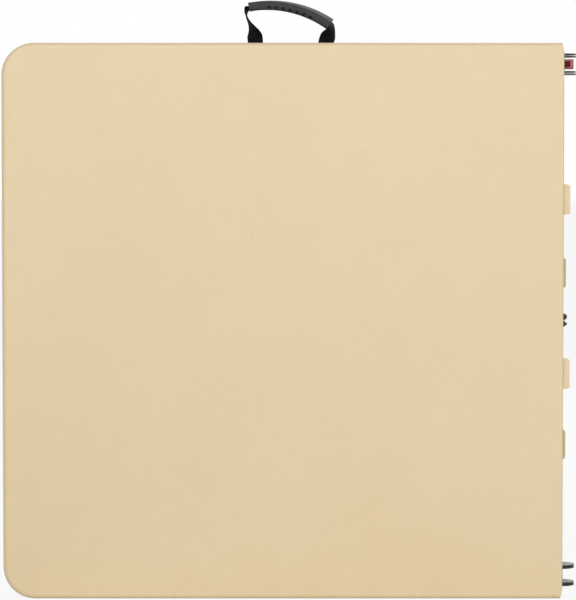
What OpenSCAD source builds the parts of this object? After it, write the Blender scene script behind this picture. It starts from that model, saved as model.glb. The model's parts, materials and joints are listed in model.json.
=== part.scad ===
// Fold-in-half event table, folded flat and standing on one long edge with its carrying handle up.
// X runs across the folded table towards the fold, Y from the front half to the rear half, Z is up.
// Each half is drawn in its own frame: x away from the fold line, y from the parting plane towards
// the table surface, z along the fold line. front() and rear() put the two halves in their places.

/* [Table top] */
// Length of each half, from the fold line to the outer end
half_len = 762; // [640:1:980]
// Width of the table, along the fold line
top_width = 756; // [640:1:940]
// Radius of the two outer corners, seen from above
corner_r = 44; // [30:1:70]
// Width of the rim that stands round the three outer sides
rim_w = 13; // [12:0.5:20]
// Thickness of the flat middle of each half
slab_t = 20; // [16:0.5:28]
// Radius of the upper edge on the outer sides
edge_r = 7; // [3:0.5:9]
// Thickness of the blow-moulded wall
wall_t = 2.6; // [1.8:0.1:3.6]
// Pitch of the moulded dimples under the top
dimple_pitch = 52; // [40:1:90]
// Radius of a dimple at its mouth
dimple_r = 9; // [5:0.5:13]

/* [Fold edge] */
// Depth of the moulded beam along the fold edge, measured from the table surface
fold_beam_h = 28; // [26:0.5:34]
// Width of that beam
fold_beam_w = 24; // [18:0.5:34]
// How far the interlocking tongues stand out of the fold edge
tongue_len = 9; // [6:0.5:12]
// Height of a tongue along the fold line
tongue_w = 41; // [30:1:56]
// Thickness of a tongue
tongue_t = 14; // [10:0.5:16]
// Distance of the outer tongue from the middle of the fold
tongue_far = 169.6; // [120:0.2:200]
// Distance of the inner tongue from the middle of the fold
tongue_near = 67.4; // [48:0.2:84]

/* [Rails and hinges] */
// Outside width of the front half's side rails
rail_w = 29; // [28.5:0.5:34]
// Height of the side rails
rail_h = 22; // [18:0.5:24]
// Sheet thickness of the steel rails and plates
steel_t = 2; // [1:0.1:2.1]
// Radius of the rail ends round the hinge pin
hinge_r = 19.5; // [14:0.5:22]
// Radius of the side hinge pins
hinge_pin_r = 4; // [2.5:0.25:5]
// Radius of the middle hinge's knuckles
knuckle_r = 8.5; // [7.5:0.5:13]
// Length of each knuckle along the fold line
knuckle_len = 9; // [7:0.5:14]
// Radius of the middle hinge's pin
knuckle_pin_r = 2.5; // [1.5:0.25:3.5]

/* [Legs and braces] */
// Outside diameter of the leg tubes
leg_od = 22; // [18:0.5:23]
// Wall of the leg tubes
tube_t = 1.2; // [0.8:0.1:2]
// Outside diameter of the foot caps
foot_od = 25.4; // [24:0.2:30]
// Length of the foot caps
foot_len = 42; // [28:1:60]
// Distance between the two legs of one half
leg_pitch = 46; // [42:1:60]
// Radius of the leg pivot pins
leg_pin_r = 4; // [2.5:0.25:5]
// Distance from the leg pivot to the brace anchor on the top
brace_anchor = 200; // [150:1:240]
// How much further down the leg the brace is riveted than its anchor
brace_offset = 24; // [20:0.5:34]
// Width of the flat brace links
link_w = 16; // [12:0.5:18]
// Thickness of the brace links
link_t = 2.5; // [1.5:0.1:3]

/* [Lock] */
// Width of the lock bolt along the fold line
bolt_w = 13.2; // [8:0.2:13.4]
// Thickness of the lock bolt
bolt_t = 9; // [6:0.5:10]
// How far the open bolt stands out past the fold line
bolt_out = 14.6; // [10:0.2:17]
// Travel of the bolt from open to locked
bolt_travel = 9; // [6:0.5:12]

/* [Handle] */
// Distance of the handle's middle from the fold line
handle_u = 370.4; // [250:0.2:480]
// Distance between the two strap ends
handle_span = 96.4; // [80:0.2:120]
// Width of the webbing
strap_w = 21; // [16:0.5:22]
// Thickness of the webbing
strap_t = 2; // [1.2:0.1:2.6]
// Length of the moulded grip, end to end
grip_len = 112; // [90:1:130]
// Radius of the grip's arch
grip_arch_r = 147; // [110:1:200]
// Height of the middle of the grip over the table's edge
grip_rise = 49.5; // [46:0.5:70]
// Lean of the grip towards the fold, in degrees
grip_lean = 11.6; // [0:0.1:14]
// Width of the grip, front to back
grip_w = 25; // [24.5:0.5:32]
// Thickness of the grip
grip_t = 12.5; // [9:0.5:16]

/* [Hidden] */

// Shared clearances and small sizes
$fn = 64;
over = 1;               // how far a cut runs past what it cuts
fold_gap = 0.6;         // between the two rims when folded
edge_gap = 0.4;         // from the fold line to each fold edge
leg_clear = 0.5;        // round a stowed foot cap
run_gap = 0.05;         // round a turning pin
side_gap = 1.2;         // between nested rail ends
plate_gap = 0.6;        // between a leg and its bracket
link_gap = 0.8;         // between the two brace links
plate_t = 2.5;          // brackets and anchors
screw_r = 2;            // screw shank
screw_head_r = 3.5;
screw_head_h = 1.8;
screw_bite = 9;         // how far a screw goes into the top
screw_gap = 0.1;        // round a screw and under its tip

// Heights above the parting plane
lip_v = fold_gap / 2;
leg_v = lip_v + leg_clear + foot_od / 2;
recess_v = leg_v + foot_od / 2 + leg_clear;
half_t = recess_v + slab_t;
fold_beam_v = half_t - fold_beam_h;
lip_r = rim_w / 5;
rim_overlap = rim_w / 2;
fold_edge_r = 2;

// Places along the width and the length
half_w = top_width / 2;
fold_x = (half_len - hinge_r) / 2;
rail_clear = 0.7;
rail_z = half_w - rim_w - rail_clear - rail_w / 2;
rear_rail_w = rail_w - 2 * (steel_t + side_gap);
corner_setback = 3.4;

// Legs
leg_end_gap = 20;       // from a stowed foot, or a pivot, to the rim
pivot_z = half_w - rim_w - leg_end_gap;
leg_len = 2 * pivot_z;
leg_edge_gap = 40;      // from the outer leg's middle to the outer rim
leg_a_x = half_len - rim_w - leg_edge_gap;
leg_b_x = leg_a_x - leg_pitch;
leg_end_r = recess_v - leg_v - leg_clear;
tube_ir = leg_od / 2 - tube_t;
bracket_half = leg_od / 2 + plate_gap + plate_t;
bracket_wing = 10;      // base plate beyond the ears
bracket_len = 30;
ear_r = 11.5;
bracket_screw_x = bracket_half + bracket_wing / 2;
bracket_screw_z = bracket_len / 3;

// Brace: two links that lie side by side when folded and in one line when the leg is out
brace_leg = brace_anchor + brace_offset;
brace_reach = sqrt(brace_anchor * brace_anchor + brace_leg * brace_leg);
upper_link_len = (brace_reach - brace_offset) / 2;
lower_link_len = upper_link_len + brace_offset;
tube_gap = 1;           // between the leg tube and the lower link
lower_link_x = -(leg_od / 2 + tube_gap + link_t);
upper_link_x = lower_link_x - link_gap - link_t;
anchor_gap = 0.5;
anchor_x = upper_link_x - anchor_gap - plate_t;
anchor_foot = 15;       // width of the anchor's base
anchor_len = 46;
anchor_screw_z = anchor_len / 2 - 8;
rivet_r = 2.5;
rivet_head_r = 4.5;
rivet_head_h = 1.2;
clip_at = 0.8 * leg_len;
clip_len = 18;
clip_t = 1.4;
clip_gap = 0.3;
clip_arm = foot_od * 0.7;

// Rails
rail_end_gap = 10;      // from the inner leg's anchor to the rail ends
rail_end_x = leg_b_x + anchor_x - anchor_foot - rail_end_gap;
cross_w = 24;
cross_h = 12;
cross_x = rail_end_x - cross_w;
rail_screw_count = 4;

// Dimples and the hollow inside the flat middle
dimple_depth = slab_t - 2 * wall_t;
dimple_tip_r = dimple_r / 2;
dimple_x0 = fold_beam_w + dimple_r + 12;
dimple_x1 = cross_x - dimple_r - 6;
dimple_z1 = rail_z - rail_w / 2 - dimple_r - 8;
dimple_nx = floor((dimple_x1 - dimple_x0) / dimple_pitch);
dimple_nz = floor(2 * dimple_z1 / dimple_pitch);
hollow_margin = dimple_r + wall_t + 2;

// Tongues and their pockets
tongue_down = 8;        // from the table surface to a tongue
tongue_v = half_t - tongue_down - tongue_t;
tongue_r = tongue_len * 0.4;
tongue_gap = 1;
tongue_shift = -3.6;    // all tongues and pockets sit this far below the middle
tongue_swing = sqrt((tongue_v + tongue_t) ^ 2 + tongue_len ^ 2);

// Middle hinge
leaf_t = 3;
leaf_half = 22;
leaf_x0 = 4;
leaf_x1 = fold_beam_w - 2;
knuckle_gap = 0.3;
knuckle_end_r = knuckle_r / 2;
knuckle_flat = knuckle_len / 4;
leaf_screw_z = leaf_half - 6;
leaf_screw_x = (leaf_x0 + leaf_x1) / 2;

// Lock
bolt_v = hinge_pin_r + 1.5;
bolt_gap = 0.25;
housing_x0 = hinge_r + 2;
housing_len = 34;
housing_wall = 2;
thumb_len = 8;
bolt_tail = thumb_len + bolt_travel + side_gap;    // bolt beyond the housing
keeper_gap = 0.5;
keeper_w = 5;
keeper_t = 1.8;
keeper_x = bolt_out + bolt_travel - keeper_w;

// Handle
strap_seat = 3.5;       // depth of the notch in the rim's lip for the strap end
strap_notch_gap = 0.5;
strap_v = lip_v + strap_seat - strap_t / 2;
strap_hinge_gap = 0.3;
handle_z = half_w + strap_hinge_gap + strap_t / 2;
strap_screw_head_h = 1.1;
grip_end_angle = asin(grip_len / 2 / grip_arch_r);
grip_slot_gap = 0.4;
grip_edge_r = grip_t * 0.35;
strap_past = 0.4;       // webbing that shows straight at each end of the grip
grip_dimple_count = 7;
grip_dimple_pitch = 10;
grip_dimple_r = 2.2;
grip_dimple_depth = 1.2;

grip_mid_h = grip_rise - (handle_z - half_w);
slot_overrun = 2;       // degrees that the grip's slot is cut past its ends
strap_bend_r = 2.5;     // the webbing bends down at the grip's ends
strap_fall = 65;        // its slope after that bend, in degrees
strap_pull_share = 0.34;
strap_rise_share = 0.52;
twist_share = 0.85;     // part of its way down over which the webbing turns flat
outer_twist_power = 5.5; // how late it turns, at the end away from the fold
inner_twist_power = 1.1;
bend_steps = 5;
drop_steps = 14;
arch_steps = 10;

// Small shapes of the pieces above
neck_x = 3 * hinge_r;
neck_far = norm([neck_x, recess_v - rail_h]);
neck_angle = atan2(recess_v - rail_h, neck_x) - acos(hinge_r / neck_far);
neck_share = 0.94;      // of the hinge disc's radius, where its neck's edge starts
neck_start = neck_share * hinge_r * [cos(neck_angle), sin(neck_angle)];
cross_gap = 0.3;        // from the cross rail to the side rails
thumb_v = lip_v + 1.2;
bolt_frame = 2.2;       // border round the pocket in the bolt
bolt_pocket = 1.5;
foot_floor = 4;         // solid end of a foot cap
foot_edge_r = 3;
foot_lip_r = 0.8;
tube_top = 4.5;         // tube beyond the pivot
plug_len = 18;
rivet_inside = 4;       // rivet past the leg's wall
pin_head_r = 6;
pin_head_h = 1.6;
anchor_ear_r = 9;

// Screws: each place is where the underside of a head bears
screw_len = plate_t + screw_bite;
web_v = recess_v - steel_t;
rail_screw_x0 = 100;
rail_screw_step = (rail_end_x - rail_screw_x0 - cross_w) / (rail_screw_count - 1);
cross_screw_z = rail_z - rail_w / 2 - 40;

function rail_places(side) = [for (i = [0 : rail_screw_count - 1])
    [rail_screw_x0 + i * rail_screw_step, web_v, side * rail_z]];

function leg_x(k) = k == 0 ? leg_a_x : leg_b_x;

function leg_z(k, z) = (k == 0 ? 1 : -1) * (pivot_z + z);

cross_places = [for (i = [-1, 0, 1]) [cross_x + cross_w / 2, web_v, i * cross_screw_z]];
bracket_places = [for (k = [0, 1], i = [-1, 1], j = [-1, 1])
    [leg_x(k) + i * bracket_screw_x, recess_v, leg_z(k, j * bracket_screw_z)]];
anchor_places = [for (k = [0, 1], j = [-1, 1])
    [leg_x(k) + anchor_x - anchor_foot / 2, recess_v, leg_z(k, j * anchor_screw_z - brace_anchor)]];
clip_places = [for (k = [0, 1]) [leg_x(k), recess_v, leg_z(k, -clip_at)]];
leaf_places = [for (j = [-1, 1]) [leaf_screw_x, fold_beam_v - leaf_t, j * leaf_screw_z]];
screw_places = concat(rail_places(1), rail_places(-1), cross_places, bracket_places,
                      anchor_places, clip_places, leaf_places);
strap_screw_places = [for (s = [-1, 1])
    [handle_u + s * handle_span / 2, strap_v - strap_t / 2, half_w - rim_w / 2]];

plastic = [0.86, 0.78, 0.61];
steel = [0.42, 0.43, 0.44];
black = [0.1, 0.1, 0.11];
bright = [0.72, 0.73, 0.74];
red = [0.66, 0.09, 0.1];

// Places of the two halves
module front() {
    translate([fold_x, 0, half_w]) rotate([0, 0, 180]) children();
}

module rear() {
    translate([fold_x, 0, half_w]) rotate([0, 180, 0]) children();
}

// Leg 0 is pivoted at the positive end of the fold direction, leg 1 at the negative end.
// In its frame the pivot pin is at the origin along x, and the foot lies towards negative z.
module at_leg(k) {
    translate([k == 0 ? leg_a_x : leg_b_x, leg_v, k == 0 ? pivot_z : -pivot_z])
        mirror([0, 0, k]) children();
}

// Side 1 is the positive end of the fold direction, side -1 the negative end
module at_side(side) {
    mirror([0, 0, side > 0 ? 0 : 1]) children();
}

// A flat outline in x and z, given its thickness from height v downwards
module plate(v, t) {
    translate([0, v, 0]) rotate([90, 0, 0]) linear_extrude(t) children();
}

module along_x(x0, len) {
    translate([x0, 0, 0]) rotate([0, 90, 0]) linear_extrude(len) children();
}

module pin_x(x0, len, r) {
    translate([x0, 0, 0]) rotate([0, 90, 0]) cylinder(h = len, r = r);
}

// What is left of a square outside a round corner of radius r, with its corner at the origin
module corner_cut(r) {
    difference() {
        translate([-over, -over]) square(r + over);
        translate([r, r]) circle(r);
    }
}

module round_rect(size, r) {
    difference() {
        square(size);
        for (i = [0, 1], j = [0, 1])
            translate([i * size[0], j * size[1]])
                mirror([i, 0]) mirror([0, j]) corner_cut(r);
    }
}

// Table top

// Section of the rim: x runs inwards from its outer face, y is the height
module rim_section() {
    difference() {
        translate([0, lip_v]) square([rim_w, half_t - lip_v]);
        translate([0, half_t]) mirror([0, 1]) corner_cut(edge_r);
        translate([0, lip_v]) corner_cut(lip_r);
        translate([rim_w, lip_v]) mirror([1, 0]) corner_cut(lip_r);
    }
}

module rim() {
    run = half_len - corner_r - edge_gap;
    end = top_width - 2 * corner_r;
    for (side = [-1, 1]) at_side(side) {
        translate([edge_gap, 0, half_w]) rotate([0, 90, 0]) linear_extrude(run) rim_section();
        translate([half_len - corner_r, 0, half_w - corner_r])
            rotate([-90, 0, 0]) rotate([0, 0, -90])
                rotate_extrude(angle = 90) translate([corner_r, 0]) mirror([1, 0]) rim_section();
    }
    translate([half_len, 0, -end / 2]) mirror([1, 0, 0]) linear_extrude(end) rim_section();
}

module slab() {
    x0 = fold_beam_w / 2;
    r = corner_r - rim_overlap;
    len = half_len - rim_overlap - x0;
    wide = top_width - 2 * rim_overlap;
    plate(half_t, slab_t) difference() {
        translate([x0, -wide / 2]) square([len, wide]);
        for (j = [0, 1]) mirror([0, j])
            translate([half_len - rim_overlap, wide / 2]) mirror([1, 0]) mirror([0, 1]) corner_cut(r);
    }
}

module fold_beam() {
    wide = top_width - 2 * rim_overlap;
    translate([edge_gap, 0, -wide / 2]) linear_extrude(wide) difference() {
        translate([0, fold_beam_v]) square([fold_beam_w - edge_gap, fold_beam_h]);
        translate([0, half_t]) mirror([0, 1]) corner_cut(fold_edge_r);
    }
}

module tongue(z) {
    reach = tongue_len + fold_beam_w / 2;
    plate(tongue_v + tongue_t, tongue_t) translate([-tongue_len, z - tongue_w / 2])
        round_rect([reach, tongue_w], tongue_r);
}

module pocket(z) {
    wide = tongue_w + 2 * tongue_gap;
    translate([-over, tongue_v - tongue_gap, z - wide / 2])
        cube([tongue_len + tongue_gap + over, tongue_swing - tongue_v + 2 * tongue_gap, wide]);
}

module rail_notch(side) {
    wide = rail_w + 2 * rail_clear;
    at_side(side) translate([-over, fold_beam_v - over, rail_z - wide / 2])
        cube([fold_beam_w + 2 * over, recess_v - fold_beam_v + over, wide]);
}

module at_dimples() {
    x0 = (dimple_x0 + dimple_x1 - dimple_nx * dimple_pitch) / 2;
    for (i = [0 : dimple_nx], j = [0 : dimple_nz])
        translate([x0 + i * dimple_pitch, recess_v, (j - dimple_nz / 2) * dimple_pitch])
            rotate([-90, 0, 0]) children();
}

module hollow() {
    x0 = dimple_x0 - hollow_margin;
    z0 = dimple_z1 + hollow_margin;
    difference() {
        translate([x0, recess_v + wall_t, -z0])
            cube([dimple_x1 + hollow_margin - x0, slab_t - 2 * wall_t, 2 * z0]);
        at_dimples() cylinder(h = slab_t, r1 = dimple_r + wall_t, r2 = dimple_tip_r + wall_t);
    }
}

// Shallow seats that take the bracket and anchor bases flush with the underside
module plate_seats() {
    for (k = [0, 1]) at_leg(k) {
        translate([-bracket_half - bracket_wing, recess_v - leg_v - over, -bracket_len / 2])
            cube([2 * (bracket_half + bracket_wing), plate_t + over, bracket_len]);
        translate([anchor_x - anchor_foot, recess_v - leg_v - over, -brace_anchor - anchor_len / 2])
            cube([anchor_foot + plate_t, plate_t + over, anchor_len]);
        translate([-clip_half(), recess_v - leg_v - over, -clip_at - clip_len / 2])
            cube([2 * clip_half(), clip_t + over, clip_len]);
    }
}

function clip_half() = leg_od / 2 + clip_gap + clip_t;

module strap_notches() {
    wide = strap_w + 2 * strap_notch_gap;
    for (s = [-1, 1])
        translate([handle_u + s * handle_span / 2 - wide / 2, lip_v - over, half_w - rim_w - over])
            cube([wide, strap_seat + over, rim_w + 2 * over]);
}

module top(notched, shift) {
    color(plastic) difference() {
        union() {
            rim();
            slab();
            fold_beam();
            tongue(shift + tongue_far);
            tongue(shift - tongue_near);
        }
        pocket(shift + tongue_near);
        pocket(shift - tongue_far);
        rail_notch(1);
        rail_notch(-1);
        for (side = [-1, 1]) at_side(side) plate(half_t + over, half_t + 2 * over)
            polygon([[-over, half_w - rim_w], [edge_gap, half_w - rim_w],
                     [corner_setback, half_w + over], [-over, half_w + over]]);
        hollow();
        at_dimples() translate([0, 0, -over])
            cylinder(h = dimple_depth + over, r1 = dimple_r, r2 = dimple_tip_r);
        plate_seats();
        at_places(screw_places) screw_hole();
        if (notched) {
            strap_notches();
            at_places(strap_screw_places) screw_hole();
        }
    }
}

// Rails

function rail_lo() = recess_v - rail_h;

// The flange of a rail, with the round end that carries the hinge pin
module flange_outline() {
    difference() {
        union() {
            circle(hinge_r);
            polygon([neck_start, [neck_x, rail_lo()], [rail_end_x, rail_lo()],
                     [rail_end_x, recess_v], [edge_gap, recess_v], [edge_gap, 0]]);
        }
        circle(hinge_pin_r + run_gap);
    }
}

module side_rail(side, wide) {
    color(steel) difference() {
        at_side(side) translate([0, 0, rail_z]) {
            for (z0 = [-wide / 2, wide / 2 - steel_t])
                translate([0, 0, z0]) linear_extrude(steel_t) flange_outline();
            translate([edge_gap, recess_v - steel_t, -wide / 2])
                cube([rail_end_x - edge_gap, steel_t, wide]);
        }
        at_places(rail_places(side)) screw_hole();
    }
}

module cross_rail(wide) {
    half = rail_z - wide / 2 - cross_gap;
    color(steel) difference() {
        translate([cross_x, recess_v - cross_h, -half]) cube([cross_w, cross_h, 2 * half]);
        translate([cross_x + steel_t, recess_v - cross_h - over, -half - over])
            cube([cross_w - 2 * steel_t, cross_h - steel_t + over, 2 * (half + over)]);
        at_places(cross_places) screw_hole();
    }
}

module side_hinge_pin(side) {
    color(bright) at_side(side) translate([0, 0, rail_z - rail_w / 2])
        cylinder(h = rail_w, r = hinge_pin_r);
}

// Middle hinge

module knuckle_leaf() {
    translate([leaf_x0, fold_beam_v - leaf_t, -leaf_half])
        cube([leaf_x1 - leaf_x0, leaf_t, 2 * leaf_half]);
    translate([0, 0, knuckle_gap]) linear_extrude(knuckle_len)
        polygon([[edge_gap, 0], [knuckle_r, 0], [leaf_x1, fold_beam_v - leaf_t],
                 [leaf_x1, fold_beam_v], [edge_gap, fold_beam_v]]);
}

module middle_knuckle(pointed) {
    color(black) difference() {
        union() {
            knuckle_leaf();
            translate([0, 0, knuckle_gap]) rotate_extrude()
                if (pointed) knuckle_point(); else knuckle_round();
        }
        translate([0, 0, knuckle_gap - over])
            cylinder(h = knuckle_len + 2 * over, r = knuckle_pin_r + run_gap);
        at_places(leaf_places) screw_hole();
    }
}

module knuckle_round() {
    difference() {
        square([knuckle_r, knuckle_len]);
        translate([knuckle_r, 0]) mirror([1, 0]) corner_cut(knuckle_end_r);
        translate([knuckle_r, knuckle_len]) mirror([1, 0]) mirror([0, 1]) corner_cut(knuckle_end_r);
    }
}

module knuckle_point() {
    polygon([[0, 0], [knuckle_r - knuckle_end_r, 0], [knuckle_r, (knuckle_len - knuckle_flat) / 2],
             [knuckle_r, (knuckle_len + knuckle_flat) / 2], [knuckle_r - knuckle_end_r, knuckle_len],
             [0, knuckle_len]]);
}

module middle_pin() {
    half = knuckle_gap + knuckle_len;
    color(bright) translate([0, 0, -half]) cylinder(h = 2 * half, r = knuckle_pin_r);
}

// Lock

module at_upper_rail_front() {
    translate([0, 0, rail_z]) children();
}

module at_upper_rail_rear() {
    translate([0, 0, -rail_z]) children();
}

// A block round the bolt, from its lower wall up to the rail's web, with the bolt's way through it
module bolt_box(x0, len, gap, wall) {
    wide = bolt_w + 2 * (gap + wall);
    low = bolt_v - gap - wall;
    difference() {
        translate([x0, low, -wide / 2]) cube([len, recess_v - steel_t - low, wide]);
        translate([x0 - over, bolt_v - gap, -bolt_w / 2 - gap])
            cube([len + 2 * over, bolt_t + 2 * gap, bolt_w + 2 * gap]);
    }
}

module bolt() {
    end = housing_x0 + housing_len + bolt_tail;
    color(red) difference() {
        union() {
            translate([-bolt_out, bolt_v, -bolt_w / 2]) cube([bolt_out + end, bolt_t, bolt_w]);
            translate([end - thumb_len, thumb_v, -bolt_w / 2]) cube([thumb_len, bolt_v - thumb_v, bolt_w]);
        }
        translate([-bolt_out + bolt_frame, bolt_v + bolt_t - bolt_pocket, -bolt_w / 2 + bolt_frame])
            cube([bolt_out + bolt_frame, bolt_pocket + over, bolt_w - 2 * bolt_frame]);
    }
}

// Legs

module leg_tube() {
    color(steel) difference() {
        translate([0, 0, foot_floor - leg_len])
            cylinder(h = leg_len - foot_floor + tube_top, r = leg_od / 2);
        translate([0, 0, foot_floor - leg_len - over])
            cylinder(h = leg_len - foot_floor + tube_top + 2 * over, r = tube_ir);
        pin_x(-leg_od, 2 * leg_od, leg_pin_r + run_gap);
        translate([0, 0, -brace_leg]) pin_x(-leg_od, leg_od, rivet_r + run_gap);
    }
}

module leg_plug() {
    color(black) difference() {
        union() {
            translate([0, 0, -plug_len]) cylinder(h = plug_len + tube_top, r = tube_ir - run_gap);
            intersection() {
                sphere(leg_end_r);
                translate([0, 0, tube_top]) cylinder(h = leg_end_r, r = leg_od / 2);
            }
        }
        pin_x(-leg_od, 2 * leg_od, leg_pin_r + run_gap);
    }
}

module leg_foot() {
    color(black) translate([0, 0, -leg_len]) difference() {
        rotate_extrude() difference() {
            square([foot_od / 2, foot_len]);
            translate([foot_od / 2, 0]) mirror([1, 0]) corner_cut(foot_edge_r);
            translate([foot_od / 2, foot_len]) mirror([1, 0]) mirror([0, 1]) corner_cut(foot_lip_r);
        }
        translate([0, 0, foot_floor]) cylinder(h = foot_len, r = leg_od / 2 + run_gap);
    }
}

// Holds the lower brace link to the leg: its head is on the link's far side
module leg_rivet() {
    color(bright) translate([0, 0, -brace_leg]) {
        pin_x(lower_link_x - rivet_head_h, rivet_head_h, rivet_head_r);
        pin_x(lower_link_x, link_t + tube_gap + rivet_inside, rivet_r);
    }
}

module leg_bracket() {
    top_v = recess_v - leg_v;
    color(steel) difference() {
        union() {
            translate([-bracket_half - bracket_wing, top_v, -bracket_len / 2])
                cube([2 * (bracket_half + bracket_wing), plate_t, bracket_len]);
            for (x0 = [-bracket_half, bracket_half - plate_t]) along_x(x0, plate_t) {
                circle(ear_r);
                translate([-ear_r, 0]) square([2 * ear_r, top_v + plate_t]);
            }
        }
        pin_x(-bracket_half - over, 2 * (bracket_half + over), leg_pin_r + run_gap);
    }
}

module leg_pin() {
    color(bright) {
        pin_x(-bracket_half, 2 * bracket_half, leg_pin_r);
        for (x0 = [-bracket_half - pin_head_h, bracket_half]) pin_x(x0, pin_head_h, pin_head_r);
    }
}

// Brace

// A link's outline: round ends at the origin and at the distance len towards the leg's pivot
module link_outline(len) {
    circle(link_w / 2);
    translate([-len, 0]) circle(link_w / 2);
    translate([-len, -link_w / 2]) square([len, link_w]);
}

module upper_link() {
    color(steel) translate([0, 0, -brace_anchor]) {
        difference() {
            along_x(upper_link_x, link_t) link_outline(upper_link_len);
            pin_x(upper_link_x - over, link_t + 2 * over, rivet_r + run_gap);
        }
        translate([0, 0, upper_link_len]) pin_x(upper_link_x - rivet_head_h, rivet_head_h, rivet_head_r);
    }
}

module lower_link() {
    color(steel) translate([0, 0, -brace_leg]) difference() {
        along_x(lower_link_x, link_t) link_outline(lower_link_len);
        for (z = [0, lower_link_len]) translate([0, 0, z])
            pin_x(lower_link_x - over, link_t + 2 * over, rivet_r + run_gap);
    }
}

module brace_anchor_plate() {
    top_v = recess_v - leg_v;
    color(steel) translate([0, 0, -brace_anchor]) difference() {
        union() {
            translate([anchor_x - anchor_foot, top_v, -anchor_len / 2])
                cube([anchor_foot + plate_t, plate_t, anchor_len]);
            along_x(anchor_x, plate_t) {
                circle(anchor_ear_r);
                translate([-anchor_ear_r, 0]) square([2 * anchor_ear_r, top_v + plate_t]);
            }
        }
        pin_x(anchor_x - over, plate_t + 2 * over, rivet_r + run_gap);
    }
}

module anchor_rivet() {
    color(bright) translate([0, 0, -brace_anchor]) {
        pin_x(anchor_x - rivet_head_h, rivet_head_h, rivet_head_r);
        pin_x(anchor_x, plate_t + anchor_gap + link_t, rivet_r);
    }
}

module leg_clip() {
    top_v = recess_v - leg_v;
    color(black) translate([-clip_half(), 0, -clip_at - clip_len / 2]) {
        translate([0, top_v, 0]) cube([2 * clip_half(), clip_t, clip_len]);
        for (x0 = [0, 2 * clip_half() - clip_t])
            translate([x0, top_v - clip_arm, 0]) cube([clip_t, clip_arm + clip_t, clip_len]);
    }
}

// Screws

module at_places(places) {
    for (place = places) translate(place) rotate([-90, 0, 0]) children();
}

module screw_hole() {
    translate([0, 0, -over]) cylinder(h = screw_len + screw_gap + over, r = screw_r + screw_gap);
}

module screw(head_h) {
    translate([0, 0, -head_h]) cylinder(h = head_h, r = screw_head_r);
    cylinder(h = screw_len, r = screw_r);
}

module screws(places) {
    color(bright) at_places(places) screw(screw_head_h);
}

// Handle

module at_handle() {
    translate([handle_u, strap_v, handle_z]) children();
}

// Turns a section, with x outwards from the arch and y across it, along the arch of the grip
module along_arch(half_angle) {
    translate([0, 0, grip_mid_h]) rotate([0, -grip_lean, 0]) translate([0, 0, -grip_arch_r])
        rotate([90, 0, 0]) rotate([0, 0, 90 - half_angle])
            rotate_extrude(angle = 2 * half_angle) translate([grip_arch_r, 0]) children();
}

module grip() {
    slot_w = strap_w + 2 * grip_slot_gap;
    slot_t = strap_t + 2 * grip_slot_gap;
    color(black) difference() {
        along_arch(grip_end_angle) translate([-grip_t / 2, -grip_w / 2])
            round_rect([grip_t, grip_w], grip_edge_r);
        along_arch(grip_end_angle + slot_overrun) translate([-slot_t / 2, -slot_w / 2])
            square([slot_t, slot_w]);
        for (i = [0 : grip_dimple_count - 1], side = [0, 1]) grip_dimple(i, side);
    }
}

module grip_dimple(i, side) {
    turn = (i - (grip_dimple_count - 1) / 2) * grip_dimple_pitch / grip_arch_r * 180 / PI;
    translate([0, 0, grip_mid_h]) rotate([0, -grip_lean, 0]) translate([0, 0, -grip_arch_r])
        rotate([0, turn, 0]) mirror([0, side, 0])
            translate([0, grip_w / 2 - grip_dimple_depth, grip_arch_r - grip_t / 4])
                rotate([-90, 0, 0]) cylinder(h = grip_dimple_depth + over, r = grip_dimple_r);
}

// A point of the webbing's middle line on the arch, at an angle from the grip's middle
function arch_point(turn) =
    let (x = grip_arch_r * sin(turn), z = grip_arch_r * (cos(turn) - 1))
    [x * cos(grip_lean) - z * sin(grip_lean), grip_mid_h + x * sin(grip_lean) + z * cos(grip_lean)];

function arch_along(turn) = [cos(turn - grip_lean), -sin(turn - grip_lean)];

function curve_point(p, t) =
    (1 - t) ^ 3 * p[0] + 3 * t * (1 - t) ^ 2 * p[1] + 3 * t ^ 2 * (1 - t) * p[2] + t ^ 3 * p[3];

function curve_along(p, t) =
    let (d = (1 - t) ^ 2 * (p[1] - p[0]) + 2 * t * (1 - t) * (p[2] - p[1]) + t ^ 2 * (p[3] - p[2]))
    d / norm(d);

// Outwards on side 1 or -1 and downwards by an angle
function heading(side, angle) = [side * cos(angle), -sin(angle)];

function exit_angle(side) = grip_end_angle - side * grip_lean;

// A point of the webbing's bend at the grip's end, where it heads downwards by an angle
function bend_point(side, angle) =
    arch_point(side * grip_end_angle) + strap_past * heading(side, exit_angle(side))
    + strap_bend_r * (heading(side, exit_angle(side) + 90) - heading(side, angle + 90));

// The four points that the webbing follows from that bend down to its seat
function strap_drop(side) =
    let (start = bend_point(side, strap_fall), seat = [side * handle_span / 2, 0])
    [start, start + strap_pull_share * start[1] * heading(side, strap_fall),
     [seat[0], strap_rise_share * start[1]], seat];

function twist_at(side, t) =
    90 * pow(min(1, t / twist_share), side > 0 ? outer_twist_power : inner_twist_power);

// One ring of the webbing: its middle, its direction and its twist give the four corners
function strap_ring(mid, along, twist) =
    let (wide = [sin(twist) * along[1], cos(twist), -sin(twist) * along[0]] * strap_w / 2,
         thick = [cos(twist) * along[1], -sin(twist), -cos(twist) * along[0]] * strap_t / 2,
         c = [mid[0], 0, mid[1]])
    [c + wide + thick, c - wide + thick, c - wide - thick, c + wide - thick];

function drop_rings(side) = [for (i = [0 : drop_steps])
    let (t = i / drop_steps, p = strap_drop(side))
    strap_ring(curve_point(p, t), side * curve_along(p, t), side * twist_at(side, t))];

function bend_rings(side) = [for (i = [0 : bend_steps - 1])
    let (angle = exit_angle(side) + (strap_fall - exit_angle(side)) * i / bend_steps)
    strap_ring(bend_point(side, angle), side * heading(side, angle), 0)];

function arch_rings() = [for (i = [0 : arch_steps])
    let (turn = grip_end_angle * (2 * i / arch_steps - 1))
    strap_ring(arch_point(turn), arch_along(turn), 0)];

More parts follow.
